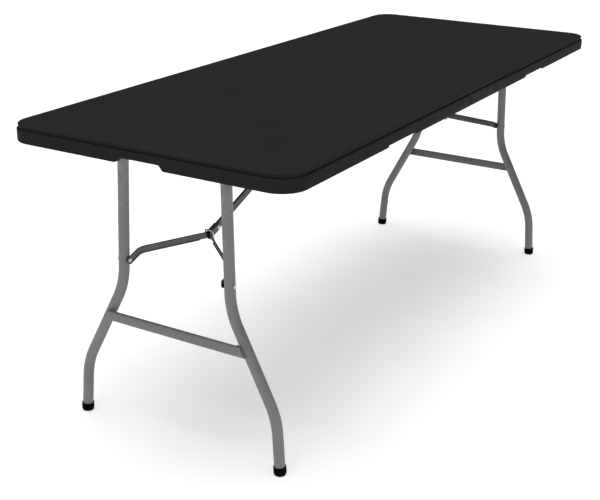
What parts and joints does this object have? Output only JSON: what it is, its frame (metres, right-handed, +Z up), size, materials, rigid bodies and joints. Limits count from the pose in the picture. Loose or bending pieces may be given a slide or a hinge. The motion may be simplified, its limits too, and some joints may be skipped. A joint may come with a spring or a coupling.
{
  "type": "folding table",
  "caption": "Rectangular folding table: two moulded half tops hinged at the middle on steel rails, with wishbone leg sets that fold in on Y braces with lock rings.",
  "frame": {"origin": "on the floor under the middle of the table", "axes": "+X along the table's length, +Y across it, +Z up"},
  "size_m": [1.829, 0.737, 0.737],
  "materials": {
    "top_plastic": "blow-moulded polyethylene with a fine pebble grain, satin",
    "steel_grey_paint": "grey powder coat, satin",
    "brace_grey_paint": "grey powder coat on pressed channel, satin",
    "zinc_steel": "bright zinc plate",
    "black_moulding": "moulded black plastic, slightly matt"
  },
  "bodies": {
    "half_a": {"a_panel": "top_plastic", "a_rail_left": "steel_grey_paint", "a_rail_right": "steel_grey_paint", "a_hinge_leaf_left": "zinc_steel", "a_hinge_leaf_right": "zinc_steel", "a_rail_screw_left_1": "zinc_steel", "a_rail_screw_left_2": "zinc_steel", "a_rail_screw_right_1": "zinc_steel", "a_rail_screw_right_2": "zinc_steel", "a_link_rod": "zinc_steel", "hinge_pin_left": "zinc_steel", "hinge_pin_right": "zinc_steel"},
    "legs_a": {"a_top_tube": "steel_grey_paint", "a_crossbar": "steel_grey_paint", "a_leg_tube_left": "steel_grey_paint", "a_leg_tube_right": "steel_grey_paint", "a_leg_rivet_left": "zinc_steel", "a_leg_rivet_right": "zinc_steel", "a_arm_spacer_left": "black_moulding", "a_arm_spacer_right": "black_moulding", "a_foot_cap_left": "black_moulding", "a_foot_cap_right": "black_moulding"},
    "link_a": {"a_centre_link": "brace_grey_paint", "a_link_tip": "black_moulding"},
    "brace_a": {"a_brace_arm_left": "brace_grey_paint", "a_brace_arm_right": "brace_grey_paint", "a_arm_rivet_left": "zinc_steel", "a_arm_rivet_right": "zinc_steel", "a_hub_rivet": "zinc_steel"},
    "ring_a": {"a_lock_ring": "zinc_steel"},
    "half_b": {"b_panel": "top_plastic", "b_rail_left": "steel_grey_paint", "b_rail_right": "steel_grey_paint", "b_hinge_leaf_left": "zinc_steel", "b_hinge_leaf_right": "zinc_steel", "b_rail_screw_left_1": "zinc_steel", "b_rail_screw_left_2": "zinc_steel", "b_rail_screw_right_1": "zinc_steel", "b_rail_screw_right_2": "zinc_steel", "b_link_rod": "zinc_steel"},
    "legs_b": {"b_top_tube": "steel_grey_paint", "b_crossbar": "steel_grey_paint", "b_leg_tube_left": "steel_grey_paint", "b_leg_tube_right": "steel_grey_paint", "b_leg_rivet_left": "zinc_steel", "b_leg_rivet_right": "zinc_steel", "b_arm_spacer_left": "black_moulding", "b_arm_spacer_right": "black_moulding", "b_foot_cap_left": "black_moulding", "b_foot_cap_right": "black_moulding"},
    "link_b": {"b_centre_link": "brace_grey_paint", "b_link_tip": "black_moulding"},
    "brace_b": {"b_brace_arm_left": "brace_grey_paint", "b_brace_arm_right": "brace_grey_paint", "b_arm_rivet_left": "zinc_steel", "b_arm_rivet_right": "zinc_steel", "b_hub_rivet": "zinc_steel"},
    "ring_b": {"b_lock_ring": "zinc_steel"}
  },
  "joints": [
    {"name": "half_fold", "type": "hinge", "parent": "half_a", "child": "half_b", "pos_m": [0, 0, 0.69], "axis": [0, 1, 0], "range_deg": [0, 90]},
    {"name": "legs_a_fold", "type": "hinge", "parent": "half_a", "child": "legs_a", "pos_m": [-0.7955, 0, 0.7118], "axis": [0, -1, 0], "range_deg": [0, 90]},
    {"name": "link_a_swing", "type": "hinge", "parent": "half_a", "child": "link_a", "pos_m": [-0.064, 0, 0.708], "axis": [0, 1, 0], "range_deg": [0, 21.42]},
    {"name": "brace_a_turn", "type": "hinge", "parent": "link_a", "child": "brace_a", "pos_m": [-0.63815, 0, 0.48356], "axis": [0, -1, 0], "range_deg": [0, 181.72]},
    {"name": "ring_a_slide", "type": "slide", "parent": "link_a", "child": "ring_a", "axis": [0.9314, 0, 0.3641], "range_m": [0, 0.2405]},
    {"name": "legs_b_fold", "type": "hinge", "parent": "half_b", "child": "legs_b", "pos_m": [0.7955, 0, 0.7118], "axis": [0, 1, 0], "range_deg": [0, 90]},
    {"name": "link_b_swing", "type": "hinge", "parent": "half_b", "child": "link_b", "pos_m": [0.064, 0, 0.708], "axis": [0, -1, 0], "range_deg": [0, 21.42]},
    {"name": "brace_b_turn", "type": "hinge", "parent": "link_b", "child": "brace_b", "pos_m": [0.63815, 0, 0.48356], "axis": [0, 1, 0], "range_deg": [0, 181.72]},
    {"name": "ring_b_slide", "type": "slide", "parent": "link_b", "child": "ring_b", "axis": [-0.9314, 0, 0.3641], "range_m": [0, 0.2405]}
  ],
  "couplings": [
    {"joint": "link_a_swing", "follows": "legs_a_fold", "ratio": 0.23778},
    {"joint": "brace_a_turn", "follows": "legs_a_fold", "ratio": 2.0183},
    {"joint": "ring_a_slide", "follows": "legs_a_fold", "m_per_rad": 0.15279},
    {"joint": "link_b_swing", "follows": "legs_b_fold", "ratio": 0.23778},
    {"joint": "brace_b_turn", "follows": "legs_b_fold", "ratio": 2.0183},
    {"joint": "ring_b_slide", "follows": "legs_b_fold", "m_per_rad": 0.15279}
  ]
}
